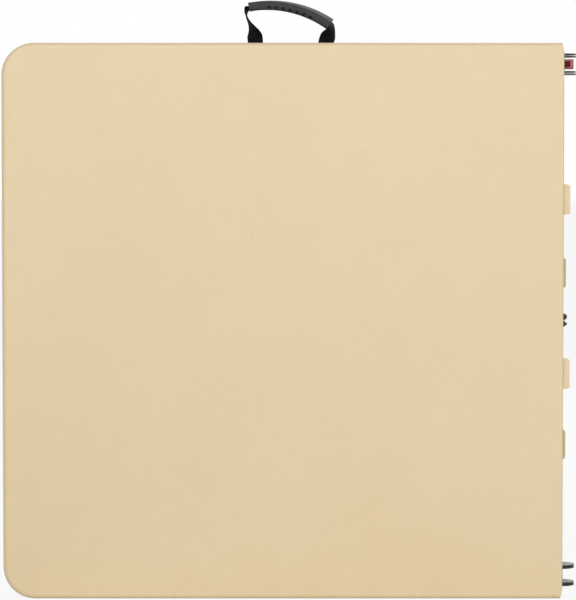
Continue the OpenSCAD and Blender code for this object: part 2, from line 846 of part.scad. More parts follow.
function reversed(list) = [for (i = [len(list) - 1 : -1 : 0]) list[i]];

module strap_loop() {
    rings = concat(reversed(drop_rings(-1)), reversed(bend_rings(-1)), arch_rings(),
                   bend_rings(1), drop_rings(1));
    last = len(rings) - 1;
    sides = [for (i = [0 : last - 1], j = [0 : 3])
        let (a = 4 * i + j, b = 4 * i + (j + 1) % 4)
        each [[a, b, b + 4], [a, b + 4, a + 4]]];
    ends = [[3, 2, 1], [3, 1, 0],
            [4 * last, 4 * last + 1, 4 * last + 2], [4 * last, 4 * last + 2, 4 * last + 3]];
    polyhedron([for (ring = rings) each ring], concat(sides, ends));
}

module strap() {
    color(black) {
        strap_loop();
        for (s = [-1, 1]) pin_x(s * handle_span / 2 - strap_w / 2, strap_w, strap_t / 2);
    }
}

module strap_end_pieces() {
    color(black) difference() {
        for (s = [-1, 1])
            translate([handle_u + s * handle_span / 2 - strap_w / 2, strap_v - strap_t / 2, half_w - rim_w])
                cube([strap_w, strap_t, rim_w]);
        at_places(strap_screw_places) screw_hole();
    }
}

// Pieces that a half holds one of for each leg

module with_screw_holes(places) {
    difference() {
        children();
        at_places(places) screw_hole();
    }
}

module brackets() {
    with_screw_holes(bracket_places) for (k = [0, 1]) at_leg(k) leg_bracket();
}

module anchors() {
    with_screw_holes(anchor_places) for (k = [0, 1]) at_leg(k) brace_anchor_plate();
}

module clips() {
    with_screw_holes(clip_places) for (k = [0, 1]) at_leg(k) leg_clip();
}

module both_legs() {
    for (k = [0, 1]) at_leg(k) children();
}

module front_top() { front() top(true, tongue_shift); }
module rear_top() { rear() top(false, -tongue_shift); }
module front_upper_rail() { front() side_rail(1, rail_w); }
module front_lower_rail() { front() side_rail(-1, rail_w); }
module rear_upper_rail() { rear() side_rail(-1, rear_rail_w); }
module rear_lower_rail() { rear() side_rail(1, rear_rail_w); }
module front_cross_rail() { front() cross_rail(rail_w); }
module rear_cross_rail() { rear() cross_rail(rear_rail_w); }
module upper_hinge_pin() { front() side_hinge_pin(1); }
module lower_hinge_pin() { front() side_hinge_pin(-1); }
module front_middle_knuckle() { front() middle_knuckle(false); }
module rear_middle_knuckle() { rear() middle_knuckle(true); }
module middle_hinge_pin() { front() middle_pin(); }
module lock_bolt() { front() at_upper_rail_front() bolt(); }
module lock_housing() {
    front() color(steel) at_upper_rail_front()
        bolt_box(housing_x0, housing_len, bolt_gap, housing_wall);
}
module lock_keeper() {
    rear() color(steel) at_upper_rail_rear() bolt_box(keeper_x, keeper_w, keeper_gap, keeper_t);
}
module handle_grip() { front() at_handle() grip(); }
module handle_strap() { front() at_handle() strap(); }
module strap_ends() { front() strap_end_pieces(); }
module strap_screws() { front() color(bright) at_places(strap_screw_places) screw(strap_screw_head_h); }

front_top();
rear_top();
front_upper_rail();
front_lower_rail();
rear_upper_rail();
rear_lower_rail();
front_cross_rail();
rear_cross_rail();
upper_hinge_pin();
lower_hinge_pin();
front_middle_knuckle();
rear_middle_knuckle();
middle_hinge_pin();
lock_bolt();
lock_housing();
lock_keeper();
front() at_leg(0) leg_tube();  // front_leg_a_tube
front() at_leg(1) leg_tube();  // front_leg_b_tube
rear() at_leg(0) leg_tube();  // rear_leg_a_tube
rear() at_leg(1) leg_tube();  // rear_leg_b_tube
front() at_leg(0) leg_plug();  // front_leg_a_plug
front() at_leg(1) leg_plug();  // front_leg_b_plug
rear() at_leg(0) leg_plug();  // rear_leg_a_plug
rear() at_leg(1) leg_plug();  // rear_leg_b_plug
front() at_leg(0) leg_foot();  // front_leg_a_foot
front() at_leg(1) leg_foot();  // front_leg_b_foot
rear() at_leg(0) leg_foot();  // rear_leg_a_foot
rear() at_leg(1) leg_foot();  // rear_leg_b_foot
front() at_leg(0) leg_rivet();  // front_leg_a_rivet
front() at_leg(1) leg_rivet();  // front_leg_b_rivet
rear() at_leg(0) leg_rivet();  // rear_leg_a_rivet
rear() at_leg(1) leg_rivet();  // rear_leg_b_rivet
front() at_leg(0) upper_link();  // front_brace_a_upper_link
front() at_leg(1) upper_link();  // front_brace_b_upper_link
rear() at_leg(0) upper_link();  // rear_brace_a_upper_link
rear() at_leg(1) upper_link();  // rear_brace_b_upper_link
front() at_leg(0) lower_link();  // front_brace_a_lower_link
front() at_leg(1) lower_link();  // front_brace_b_lower_link
rear() at_leg(0) lower_link();  // rear_brace_a_lower_link
rear() at_leg(1) lower_link();  // rear_brace_b_lower_link
front() brackets();  // front_leg_brackets
rear() brackets();  // rear_leg_brackets
front() both_legs() leg_pin();  // front_leg_pins
rear() both_legs() leg_pin();  // rear_leg_pins
front() anchors();  // front_brace_anchors
rear() anchors();  // rear_brace_anchors
front() both_legs() anchor_rivet();  // front_anchor_rivets
rear() both_legs() anchor_rivet();  // rear_anchor_rivets
front() clips();  // front_leg_clips
rear() clips();  // rear_leg_clips
front() screws(screw_places);  // front_screws
rear() screws(screw_places);  // rear_screws
handle_grip();
handle_strap();
strap_ends();
strap_screws();
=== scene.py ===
import json
import math

import bmesh
import bpy
from mathutils import Matrix, Vector

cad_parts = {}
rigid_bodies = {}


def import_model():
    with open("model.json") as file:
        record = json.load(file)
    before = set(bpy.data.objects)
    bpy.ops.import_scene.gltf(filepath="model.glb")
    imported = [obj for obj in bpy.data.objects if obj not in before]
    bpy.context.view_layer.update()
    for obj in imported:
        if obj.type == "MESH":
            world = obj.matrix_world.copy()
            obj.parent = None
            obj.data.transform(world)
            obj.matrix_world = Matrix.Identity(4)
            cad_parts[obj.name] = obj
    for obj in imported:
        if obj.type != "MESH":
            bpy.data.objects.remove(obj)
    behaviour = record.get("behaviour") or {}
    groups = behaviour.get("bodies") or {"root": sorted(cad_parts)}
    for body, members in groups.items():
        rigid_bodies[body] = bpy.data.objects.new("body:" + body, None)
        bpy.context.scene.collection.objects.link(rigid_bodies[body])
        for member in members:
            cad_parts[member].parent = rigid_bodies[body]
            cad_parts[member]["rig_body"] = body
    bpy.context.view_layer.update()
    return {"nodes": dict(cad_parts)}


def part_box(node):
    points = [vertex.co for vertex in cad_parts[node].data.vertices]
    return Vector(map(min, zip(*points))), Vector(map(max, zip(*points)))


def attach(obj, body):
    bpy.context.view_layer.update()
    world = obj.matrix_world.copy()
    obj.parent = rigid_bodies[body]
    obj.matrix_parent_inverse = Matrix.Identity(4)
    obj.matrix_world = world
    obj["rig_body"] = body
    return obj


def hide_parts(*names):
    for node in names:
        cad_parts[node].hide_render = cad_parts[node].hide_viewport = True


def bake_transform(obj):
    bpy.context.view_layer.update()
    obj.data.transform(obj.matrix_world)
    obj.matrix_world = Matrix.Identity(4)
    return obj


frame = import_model()
nodes = frame["nodes"]
print("frame loaded,", len(nodes), "parts")


def linear(v):
    v = v / 255
    return v / 12.92 if v <= 0.04045 else ((v + 0.055) / 1.055) ** 2.4


def tone(red, green, blue):
    return (linear(red), linear(green), linear(blue), 1)


def clearSelection():
    if bpy.context.mode != "OBJECT":
        bpy.ops.object.mode_set(mode="OBJECT")
    bpy.ops.object.select_all(action="DESELECT")


def focus(piece):
    clearSelection()
    piece.select_set(True)
    bpy.context.view_layer.objects.active = piece


def openMesh(piece, kind="FACE", everything=False):
    focus(piece)
    bpy.ops.object.mode_set(mode="EDIT")
    bpy.ops.mesh.select_mode(type=kind)
    bpy.ops.mesh.select_all(action="SELECT" if everything else "DESELECT")


def pickFaces(piece, wanted):
    openMesh(piece)
    mesh = bmesh.from_edit_mesh(piece.data)
    for face in mesh.faces:
        face.select_set(wanted(face))
    bmesh.update_edit_mesh(piece.data)


def closeMesh():
    bpy.ops.mesh.select_all(action="SELECT")
    bpy.ops.mesh.remove_doubles(threshold=0.000005)
    bpy.ops.mesh.normals_make_consistent(inside=False)
    bpy.ops.object.mode_set(mode="OBJECT")


def applyModifier(piece, kind, **settings):
    focus(piece)
    modifier = piece.modifiers.new(kind.title(), kind)
    for name, value in settings.items():
        setattr(modifier, name, value)
    bpy.ops.object.modifier_apply(modifier=modifier.name)


def smoothShade(piece, sharp=35):
    focus(piece)
    bpy.ops.object.shade_smooth_by_angle(angle=math.radians(sharp))


def roundEdges(piece, width, rounds=2, sharp=35):
    applyModifier(piece, "BEVEL", width=width, segments=rounds, limit_method="ANGLE",
                  angle_limit=math.radians(sharp), use_clamp_overlap=True)
    smoothShade(piece, sharp)


def settle(piece):
    focus(piece)
    bpy.ops.object.transform_apply(location=True, rotation=True, scale=True)


def turned(name, profile, sides=48):    # a lathe: each step of the profile is extruded and resized
    clearSelection()
    radius, height = profile[0]
    bpy.ops.mesh.primitive_circle_add(vertices=sides, radius=radius, fill_type="NGON",
                                      location=(0, 0, height))
    piece = bpy.context.active_object
    piece.name = name
    settle(piece)
    openMesh(piece, everything=True)
    for (r0, z0), (r1, z1) in zip(profile, profile[1:]):
        bpy.ops.mesh.extrude_region_move(TRANSFORM_OT_translate={"value": (0, 0, z1 - z0)})
        bpy.ops.transform.resize(value=(r1 / r0, r1 / r0, 1), center_override=(0, 0, z1))
    closeMesh()
    return piece


def dress(piece, material, slotName, body, *stands):
    piece.data.materials.clear()
    piece.data.materials.append(material)
    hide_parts(*stands)
    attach(piece, body)
    return piece


def block(name, low, high):
    low, high = Vector(low), Vector(high)
    clearSelection()
    bpy.ops.mesh.primitive_cube_add(size=1, location=(low + high) / 2)
    piece = bpy.context.active_object
    piece.name = name
    piece.scale = high - low
    settle(piece)
    return piece


def combine(piece, other, operation):
    applyModifier(piece, "BOOLEAN", object=other, operation=operation, solver="EXACT")
    bpy.data.objects.remove(other)


def joined(name, pieces):
    clearSelection()
    for piece in pieces:
        piece.select_set(True)
    bpy.context.view_layer.objects.active = pieces[0]
    bpy.ops.object.join()
    whole = bpy.context.active_object
    whole.name = name
    settle(whole)
    return whole


def pieceName(node):
    words = node.split("_")
    return words[0] + "".join(word.title() for word in words[1:])


# Shared surface effects

def newGroup(name, inputs, outputs):
    group = bpy.data.node_groups.new(name, "ShaderNodeTree")
    for label, value in inputs.items():
        kind = "NodeSocketVector" if value is None else "NodeSocketFloat"
        socket = group.interface.new_socket(name=label, in_out="INPUT", socket_type=kind)
        if value is not None:
            socket.default_value = value
    for label in outputs:
        group.interface.new_socket(name=label, in_out="OUTPUT", socket_type="NodeSocketFloat")
    return group, group.nodes.new("NodeGroupInput"), group.nodes.new("NodeGroupOutput")


def addNode(tree, kind, links=None, **settings):
    made = tree.nodes.new("ShaderNode" + kind)
    for name, value in settings.items():
        setattr(made, name, value)
    for socket, source in (links or {}).items():
        if isinstance(source, bpy.types.NodeSocket):
            tree.links.new(source, made.inputs[socket])
        else:
            made.inputs[socket].default_value = source
    return made


def mapped(tree, value, low, high, toLow, toHigh):
    made = addNode(tree, "MapRange", {"Value": value, "From Min": low, "From Max": high,
                                      "To Min": toLow, "To Max": toHigh}, clamp=True)
    return made.outputs["Result"]


def maths(tree, operation, a, b=0.0):
    return addNode(tree, "Math", {0: a, 1: b}, operation=operation).outputs[0]


def makeGrain():    # the fine leathery grain of moulded plastic
    tree, given, result = newGroup("mouldedGrain", {"Vector": None, "Cells": 700.0},
                                   ["Height", "Pits"])
    cells = addNode(tree, "TexVoronoi", {"Vector": given.outputs["Vector"],
                                         "Scale": given.outputs["Cells"], "Randomness": 1.0},
                    feature="SMOOTH_F1")
    wide = maths(tree, "MULTIPLY", given.outputs["Cells"], 0.31)
    soft = addNode(tree, "TexNoise", {"Vector": given.outputs["Vector"], "Scale": wide,
                                      "Detail": 3.0, "Roughness": 0.55})
    dome = mapped(tree, cells.outputs["Distance"], 0.0, 0.75, 1.0, 0.0)
    height = maths(tree, "ADD", maths(tree, "MULTIPLY", dome, 0.6),
                   maths(tree, "MULTIPLY", soft.outputs["Fac"], 0.4))
    tree.links.new(height, result.inputs["Height"])
    tree.links.new(mapped(tree, dome, 0.0, 0.45, 1.0, 0.0), result.inputs["Pits"])
    return tree


def makePatches():    # slow cloudy change of colour or gloss
    tree, given, result = newGroup("cloudyPatches", {"Vector": None, "Size": 8.0, "Contrast": 0.5},
                                   ["Mask"])
    cloud = addNode(tree, "TexNoise", {"Vector": given.outputs["Vector"],
                                       "Scale": given.outputs["Size"], "Detail": 4.0,
                                       "Roughness": 0.6, "Distortion": 0.35})
    reach = maths(tree, "SUBTRACT", 1.0, given.outputs["Contrast"])
    low = maths(tree, "SUBTRACT", 0.5, maths(tree, "MULTIPLY", reach, 0.4))
    high = maths(tree, "ADD", 0.5, maths(tree, "MULTIPLY", reach, 0.4))
    spread = addNode(tree, "MapRange",
                     {"Value": cloud.outputs["Fac"], "From Min": low, "From Max": high},
                     clamp=True, interpolation_type="SMOOTHSTEP")
    tree.links.new(spread.outputs["Result"], result.inputs["Mask"])
    return tree


# An edge mask: rubbed edges on the paints and the black plastic, a painted edge shade on the grip.
def makeEdgeWearAndShade():    # where an edge is rubbed, broken up by noise
    tree, given, result = newGroup("edgeWear", {"Vector": None, "Reach": 0.0008, "Broken": 260.0},
                                   ["Mask"])
    softened = addNode(tree, "Bevel", {"Radius": given.outputs["Reach"]}, samples=6)
    plain = addNode(tree, "NewGeometry")
    facing = addNode(tree, "VectorMath",
                     {0: softened.outputs["Normal"], 1: plain.outputs["Normal"]},
                     operation="DOT_PRODUCT")
    edge = mapped(tree, facing.outputs["Value"], 0.995, 0.90, 0.0, 1.0)
    breaks = addNode(tree, "TexNoise", {"Vector": given.outputs["Vector"],
                                        "Scale": given.outputs["Broken"], "Detail": 3.0,
                                        "Roughness": 0.7})
    chips = mapped(tree, breaks.outputs["Fac"], 0.44, 0.62, 0.0, 1.0)
    tree.links.new(maths(tree, "MULTIPLY", edge, chips), result.inputs["Mask"])
    return tree


def makeOrangePeel():    # the slightly wavy skin of powder coat
    tree, given, result = newGroup("orangePeel", {"Vector": None, "Cells": 900.0}, ["Height"])
    wave = addNode(tree, "TexNoise", {"Vector": given.outputs["Vector"],
                                      "Scale": given.outputs["Cells"], "Detail": 1.5,
                                      "Roughness": 0.4})
    tree.links.new(wave.outputs["Fac"], result.inputs["Height"])
    return tree


def makeWeave():    # plain weave on a strip's own map: threads across and threads along
    tree, given, result = newGroup("plainWeave", {"Vector": None, "Across": 14.0, "Along": 200.0},
                                   ["Height", "Gaps"])
    split = addNode(tree, "SeparateXYZ", {0: given.outputs["Vector"]})
    u = maths(tree, "MULTIPLY", split.outputs["X"], given.outputs["Along"])
    v = maths(tree, "MULTIPLY", split.outputs["Y"], given.outputs["Across"])
    alongWave = maths(tree, "SINE", maths(tree, "MULTIPLY", u, math.pi))
    acrossWave = maths(tree, "SINE", maths(tree, "MULTIPLY", v, math.pi))
    over = maths(tree, "GREATER_THAN", maths(tree, "MULTIPLY", alongWave, acrossWave), 0.0)
    under = maths(tree, "SUBTRACT", 1.0, over)
    warpTop = maths(tree, "MULTIPLY", maths(tree, "ABSOLUTE", acrossWave), over)
    weftTop = maths(tree, "MULTIPLY", maths(tree, "ABSOLUTE", alongWave), under)
    height = maths(tree, "ADD", warpTop, maths(tree, "MULTIPLY", weftTop, 0.72))
    tree.links.new(height, result.inputs["Height"])
    tree.links.new(mapped(tree, height, 0.0, 0.5, 1.0, 0.0), result.inputs["Gaps"])
    return tree


grainGroup = makeGrain()
patchesGroup = makePatches()
wearAndEdgeShadeGroup = makeEdgeWearAndShade()
peelGroup = makeOrangePeel()
weaveGroup = makeWeave()
print("shared effects made")


def newMaterial(name):
    material = bpy.data.materials.new(name)
    material.use_nodes = True
    tree = material.node_tree
    shader = tree.nodes["Principled BSDF"]
    place = addNode(tree, "TexCoord").outputs["Object"]
    return material, tree, shader, place


def effect(tree, group, place, **values):
    made = tree.nodes.new("ShaderNodeGroup")
    made.node_tree = group
    tree.links.new(place, made.inputs["Vector"])
    for label, value in values.items():
        made.inputs[label.title()].default_value = value
    return made


def mixTones(tree, mask, first, second):
    made = tree.nodes.new("ShaderNodeMix")
    made.data_type = "RGBA"
    for number, source in ((0, mask), (6, first), (7, second)):    # the mix's colour sockets
        if isinstance(source, bpy.types.NodeSocket):
            tree.links.new(source, made.inputs[number])
        else:
            made.inputs[number].default_value = source
    return made.outputs[2]


def shaded(colour, share):
    return tuple(c * share for c in colour[:3]) + (1,)


def roughen(tree, shader, mask, low, high):
    tree.links.new(mapped(tree, mask, 0.0, 1.0, low, high), shader.inputs["Roughness"])


def raised(tree, shader, height, strength, depth):
    made = addNode(tree, "Bump", {"Height": height, "Strength": strength, "Distance": depth})
    tree.links.new(made.outputs["Normal"], shader.inputs["Normal"])


topPlastic = {
    "main": tone(229, 210, 174),
    "cloud": tone(226, 205, 167),
    "pit": tone(214, 191, 153),
    "mottle": 0.35,
    "pits": 0.3,
    "cells": 620.0,
    "grain": 0.28,
    "roughness": (0.40, 0.52),
    "gloss": 0.35,
}


def makeTopPlastic():
    material, tree, shader, place = newMaterial("topPlastic")
    clouds = effect(tree, patchesGroup, place, size=7.0, contrast=0.15)
    mottle = effect(tree, patchesGroup, place, size=46.0, contrast=0.1)
    grain = effect(tree, grainGroup, place, cells=topPlastic["cells"])
    clouded = mixTones(tree, clouds.outputs["Mask"], topPlastic["main"], topPlastic["cloud"])
    faint = maths(tree, "MULTIPLY", mottle.outputs["Mask"], topPlastic["mottle"])
    mottled = mixTones(tree, faint, clouded, topPlastic["cloud"])
    pits = maths(tree, "MULTIPLY", grain.outputs["Pits"], topPlastic["pits"])
    tree.links.new(mixTones(tree, pits, mottled, topPlastic["pit"]), shader.inputs["Base Color"])
    roughen(tree, shader, mottle.outputs["Mask"], *topPlastic["roughness"])
    raised(tree, shader, grain.outputs["Height"], topPlastic["grain"], 0.0002)
    shader.inputs["Specular IOR Level"].default_value = topPlastic["gloss"]
    return material


paints = {    # bare is what shows where an edge is rubbed
    "railPaint": {"coat": tone(48, 49, 50), "bare": tone(112, 110, 106), "roughness": 0.32,
                  "peel": 800.0, "chips": 0.3},
    "hingeBlack": {"coat": tone(24, 24, 25), "bare": tone(96, 94, 90), "roughness": 0.4,
                   "peel": 900.0, "chips": 0.3},
    "lockRed": {"coat": tone(104, 16, 18), "bare": tone(124, 58, 54), "roughness": 0.5,
                "peel": 700.0, "chips": 0.4},
    "legPaint": {"coat": tone(104, 105, 107), "bare": tone(158, 156, 150), "roughness": 0.34,
                 "peel": 900.0, "chips": 0.8},
    # the next colour is a painted highlight: a lighter, pinker copy of the bolt's red for its
    # raised frame, as if lit; bare is its rubbed edge
    "lockRubbed": {"coat": tone(196, 92, 90), "bare": tone(210, 150, 144), "roughness": 0.5,
                   "peel": 700.0, "chips": 0.5},
    # the next colour is a painted shade: a much darker copy of the bolt's red, as if its sunk panel
    # lay in shadow
    "lockDark": {"coat": tone(84, 2, 3), "bare": tone(96, 14, 14), "roughness": 0.75,
                 "peel": 700.0, "chips": 0.3},
}


def makePaint(name):
    paint = paints[name]
    material, tree, shader, place = newMaterial(name)
    edgeMask = effect(tree, wearAndEdgeShadeGroup, place, reach=0.0007)
    patches = effect(tree, patchesGroup, place, size=35.0, contrast=0.2)
    skin = effect(tree, peelGroup, place, cells=paint["peel"])
    painted = mixTones(tree, patches.outputs["Mask"], paint["coat"], shaded(paint["coat"], 0.88))
    rubbed = maths(tree, "MULTIPLY", edgeMask.outputs["Mask"], paint["chips"])
    tree.links.new(mixTones(tree, rubbed, painted, paint["bare"]), shader.inputs["Base Color"])
    roughen(tree, shader, patches.outputs["Mask"], paint["roughness"], paint["roughness"] + 0.1)
    tree.links.new(maths(tree, "MULTIPLY", rubbed, 0.7), shader.inputs["Metallic"])
    raised(tree, shader, skin.outputs["Height"], 0.12, 0.00015)
    return material


zinc = {
    "bright": tone(188, 187, 180),
    "dull": tone(164, 164, 158),
    "roughness": (0.3, 0.42),
}


def makeZinc():
    material, tree, shader, place = newMaterial("zincPlate")
    patches = effect(tree, patchesGroup, place, size=300.0, contrast=0.4)
    fine = effect(tree, patchesGroup, place, size=1400.0, contrast=0.5)
    plate = mixTones(tree, patches.outputs["Mask"], zinc["bright"], zinc["dull"])
    tree.links.new(plate, shader.inputs["Base Color"])
    roughen(tree, shader, fine.outputs["Mask"], *zinc["roughness"])
    raised(tree, shader, fine.outputs["Mask"], 0.08, 0.0001)
    shader.inputs["Metallic"].default_value = 1.0
    return material


# The colour at the edges: lighter, rubbed plastic on the black parts; a darker painted edge shade
# on the grip.
mouldings = {
    "blackPlastic": {"colour": tone(36, 36, 38), "rubbed": tone(70, 70, 72), "roughness": 0.5,
                     "cells": 900.0, "grain": 0.25, "gloss": 0.5},
    # the grip's edge colour is darker than its body: a painted edge shade
    "gripPlastic": {"colour": tone(58, 58, 59), "rubbed": tone(50, 50, 51), "roughness": 0.62,
                    "cells": 1100.0, "grain": 0.3, "gloss": 0.25},
}


def makeMoulded(name):
    moulding = mouldings[name]
    material, tree, shader, place = newMaterial(name)
    edgeMask = effect(tree, wearAndEdgeShadeGroup, place, reach=0.0012, broken=420.0)
    patches = effect(tree, patchesGroup, place, size=60.0, contrast=0.2)
    grain = effect(tree, grainGroup, place, cells=moulding["cells"])
    colour, roughness = moulding["colour"], moulding["roughness"]
    body = mixTones(tree, patches.outputs["Mask"], colour, shaded(colour, 0.86))
    # edges take the edge colour: rubbed plastic on the black parts, painted edge shade on the grip
    rubbed = maths(tree, "MULTIPLY", edgeMask.outputs["Mask"], 0.6)
    tree.links.new(mixTones(tree, rubbed, body, moulding["rubbed"]), shader.inputs["Base Color"])
    roughen(tree, shader, patches.outputs["Mask"], roughness, roughness + 0.12)
    raised(tree, shader, grain.outputs["Height"], moulding["grain"], 0.0002)
    shader.inputs["Specular IOR Level"].default_value = moulding["gloss"]
    return material


weave = {
    "thread": tone(13, 14, 16),
    "faded": tone(9, 10, 12),
    "gap": tone(4, 4, 5),
    "across": 15.0,
    "along": 210.0,
    "roughness": (0.9, 0.68),
    "depth": 0.0004,
    "gloss": 0.12,
}


def makeWebbing():
    material, tree, shader, place = newMaterial("strapWebbing")
    strip = addNode(tree, "UVMap", uv_map="stripMap").outputs["UV"]
    woven = effect(tree, weaveGroup, strip, across=weave["across"], along=weave["along"])
    patches = effect(tree, patchesGroup, place, size=120.0, contrast=0.2)
    thread = mixTones(tree, patches.outputs["Mask"], weave["thread"], weave["faded"])
    tree.links.new(mixTones(tree, woven.outputs["Gaps"], thread, weave["gap"]),
                   shader.inputs["Base Color"])
    roughen(tree, shader, woven.outputs["Height"], *weave["roughness"])
    raised(tree, shader, woven.outputs["Height"], 0.7, weave["depth"])
    shader.inputs["Specular IOR Level"].default_value = weave["gloss"]
    return material


finishes = {
    "top_plastic": makeTopPlastic(),
    "rail_paint": makePaint("railPaint"),
    "hinge_black": makePaint("hingeBlack"),
    "zinc": makeZinc(),
    "lock_red": makePaint("lockRed"),
    "leg_paint": makePaint("legPaint"),
    "black_plastic": makeMoulded("blackPlastic"),
    "grip_plastic": makeMoulded("gripPlastic"),
    "webbing": makeWebbing(),
}
# painted highlight: the lighter copy of the bolt's red, for its raised frame
lockRubbed = makePaint("lockRubbed")
# painted shade: the darker copy of the bolt's red, for its sunk panel
lockDark = makePaint("lockDark")
slotOf = {node: part.data.materials[0].name for node, part in nodes.items()}
for node, part in nodes.items():
    part.data.materials[0] = finishes[slotOf[node]]
print("finishes made:", ", ".join(finishes))


# Steel and plastic parts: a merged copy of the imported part, its edges broken by a small bevel

edgeBreaks = {    # by the last word of a part's name
    "rail": 0.0006,
    "pin": 0.0007,
    "knuckle": 0.0006,
    "housing": 0.0006,
    "keeper": 0.0005,
    "tube": 0.0003,
    "link": 0.0005,
    "rivet": 0.0006,
    "rivets": 0.0006,
    "pins": 0.0006,
    "brackets": 0.0005,
    "anchors": 0.0005,
    "clips": 0.0004,
    "plug": 0.0004,
}


def softEdged(node, width):
    source = nodes[node]
    piece = bpy.data.objects.new(pieceName(node), source.data.copy())
    bpy.context.scene.collection.objects.link(piece)
    focus(piece)
    bpy.ops.mesh.customdata_custom_splitnormals_clear()
    openMesh(piece, everything=True)
    bpy.ops.mesh.remove_doubles(threshold=0.000002)
    bpy.ops.mesh.dissolve_limited(angle_limit=math.radians(0.4))
    bpy.ops.object.mode_set(mode="OBJECT")
    roundEdges(piece, width)
    return dress(piece, finishes[slotOf[node]], slotOf[node], source["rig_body"], node)


for node in sorted(nodes):
    kind = node.split("_")[-1]
    if kind in edgeBreaks:
        softEdged(node, edgeBreaks[kind])
print("edges broken on the steel parts")


# Screws: one pan head with a cross recess, copied to every place

screw = {
    "headRadius": 0.0035,
    "headHeight": 0.0018,
    "lowHeadHeight": 0.0011,
    "head": ((1, 0), (1, 0.35), (0.9, 0.68), (0.66, 0.9), (0.34, 1)),    # shares of radius, height
    "shankRadius": 0.002,
    "pointLength": 0.0025,
    "pointShare": 0.35,
    "recessWidth": 0.0009,
    "recessLength": 0.0036,
    "recessDepth": 0.0011,
    "recessTaper": (0.55, 0.8, 1),    # the recess narrows as it goes down
    "recessPast": 0.001,    # how far its cutter rises past the head
    "sides": 28,
    "apart": 0.008,    # screws stand further apart than this
    "turnStep": 2.4,    # so that no two recesses point the same way
}


def makeScrew(shankLength, headHeight):
    shank, depth, past = screw["shankRadius"], screw["recessDepth"], screw["recessPast"]
    profile = [(shank * screw["pointShare"], -shankLength),
               (shank, -shankLength + screw["pointLength"]), (shank, 0)]
    profile += [(screw["headRadius"] * out, headHeight * up) for out, up in screw["head"]]
    piece = turned("screw", profile, sides=screw["sides"])
    bars = []
    for turn in (0, math.pi / 2):
        clearSelection()
        middle = headHeight - depth / 2 + past / 2
        bpy.ops.mesh.primitive_cube_add(size=1, location=(0, 0, middle), rotation=(0, 0, turn))
        bar = bpy.context.active_object
        bar.scale = (screw["recessLength"], screw["recessWidth"], depth + past)
        settle(bar)
        pickFaces(bar, lambda face: face.normal.z < -0.9)
        bpy.ops.transform.resize(value=screw["recessTaper"])
        closeMesh()
        bars.append(bar)
    for bar in bars:
        combine(piece, bar, "DIFFERENCE")
    smoothShade(piece, 32)
    return piece


def screwPlaces(node):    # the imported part's own screws, grouped by their axes
    found = []
    for vertex in nodes[node].data.vertices:
        for group in found:
            away = group[0] - vertex.co
            if max(abs(away.x), abs(away.z)) < screw["apart"]:
                group.append(vertex.co)
                break
        else:
            found.append([vertex.co])
    places = []
    for group in found:
        middle = [(min(p[i] for p in group) + max(p[i] for p in group)) / 2 for i in (0, 2)]
        places.append((middle[0], min(p.y for p in group), max(p.y for p in group), middle[1]))
    return places


def setScrews(node, facing, headHeight):
    places = screwPlaces(node)
    low, high = places[0][1], places[0][2]
    model = makeScrew(high - low - headHeight, headHeight)
    copies = []
    for number, (x, y0, y1, z) in enumerate(places):
        copy = bpy.data.objects.new("screwCopy", model.data.copy())
        bpy.context.scene.collection.objects.link(copy)
        seat = y1 - headHeight if facing > 0 else y0 + headHeight
        copy.location = (x, seat, z)
        copy.rotation_mode = "YXZ"
        copy.rotation_euler = (-facing * math.pi / 2, number * screw["turnStep"], 0)
        copies.append(copy)
    bpy.data.objects.remove(model)
    whole = joined(pieceName(node), copies)
    return dress(whole, finishes["zinc"], "zinc", nodes[node]["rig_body"], node)


setScrews("front_screws", 1, screw["headHeight"])
setScrews("rear_screws", -1, screw["headHeight"])
setScrews("strap_screws", 1, screw["lowHeadHeight"])
print("screws set")


# Feet: a ribbed cap on each leg's end

foot = {
    "radius": 0.0127,
    "length": 0.042,
    "bore": 0.01105,
    "floor": 0.004,
    "toe": ((0.28, 0.0007), (0.42, 0), (0.72, 0), (0.86, 0.0005), (0.95, 0.0014), (1, 0.003)),
    "grooves": (0.0255, 0.0295, 0.0335),    # between the ribs
    "grooveDepth": 0.00055,
    "grooveWidth": 0.0012,
    "grooveSlope": 0.0003,
    "mouth": ((0, 0.0008), (0.0003, 0.0002), (0.0009, 0)),    # inwards and down from its upper rim
    "sides": 64,
}


def makeFoot(node, tubeNode):
    r, length = foot["radius"], foot["length"]
    inner, wide, slope = r - foot["grooveDepth"], foot["grooveWidth"], foot["grooveSlope"]
    profile = [(r * share, z) for share, z in foot["toe"]]
    for z in foot["grooves"]:
        profile += [(r, z), (inner, z + slope), (inner, z + wide - slope), (r, z + wide)]
    profile += [(r - inwards, length - down) for inwards, down in foot["mouth"]]
    profile += [(foot["bore"], length), (foot["bore"], foot["floor"])]
    piece = turned(pieceName(node), profile, sides=foot["sides"])
    low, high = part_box(node)
    tubeLow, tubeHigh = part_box(tubeNode)
    below = low.z + high.z < tubeLow.z + tubeHigh.z
    piece.location = ((low.x + high.x) / 2, (low.y + high.y) / 2, low.z if below else high.z)
    piece.rotation_euler = (0 if below else math.pi, 0, 0)
    settle(piece)
    smoothShade(piece, 40)
    return dress(piece, finishes["black_plastic"], "black_plastic", nodes[node]["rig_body"], node)


for half in ("front", "rear"):
    for leg in ("a", "b"):
        makeFoot(f"{half}_leg_{leg}_foot", f"{half}_leg_{leg}_tube")
print("feet made")


# Lock bolt: a red bar with a raised frame round a sunk panel, and a ribbed thumb tab; the frame
# carries a painted highlight and the panel a painted shade

bolt = {
    "thick": 0.009,
    "corner": 0.0012,
    "outline": 0.0013,
    "frameWide": (0.0030, 0.0014),    # at the tip and at the sides
    "frameEdge": 0.0003,
    "frameUnder": 0.002,    # how far the frame runs on past the panel
    "raised": 0.0004,
    "bedded": 0.0004,    # how deep frame and panel sit in the bar
    "sunk": 0.0014,
    "panel": 0.0135,
    "panelGap": 0.0002,
    "panelRise": 0.0006,
    "thumb": 0.008,
    "grooves": 3,
    "grooveWide": 0.001,
    "grooveDeep": 0.0009,
    "past": 0.001,    # how far a cutter goes past the bar
}


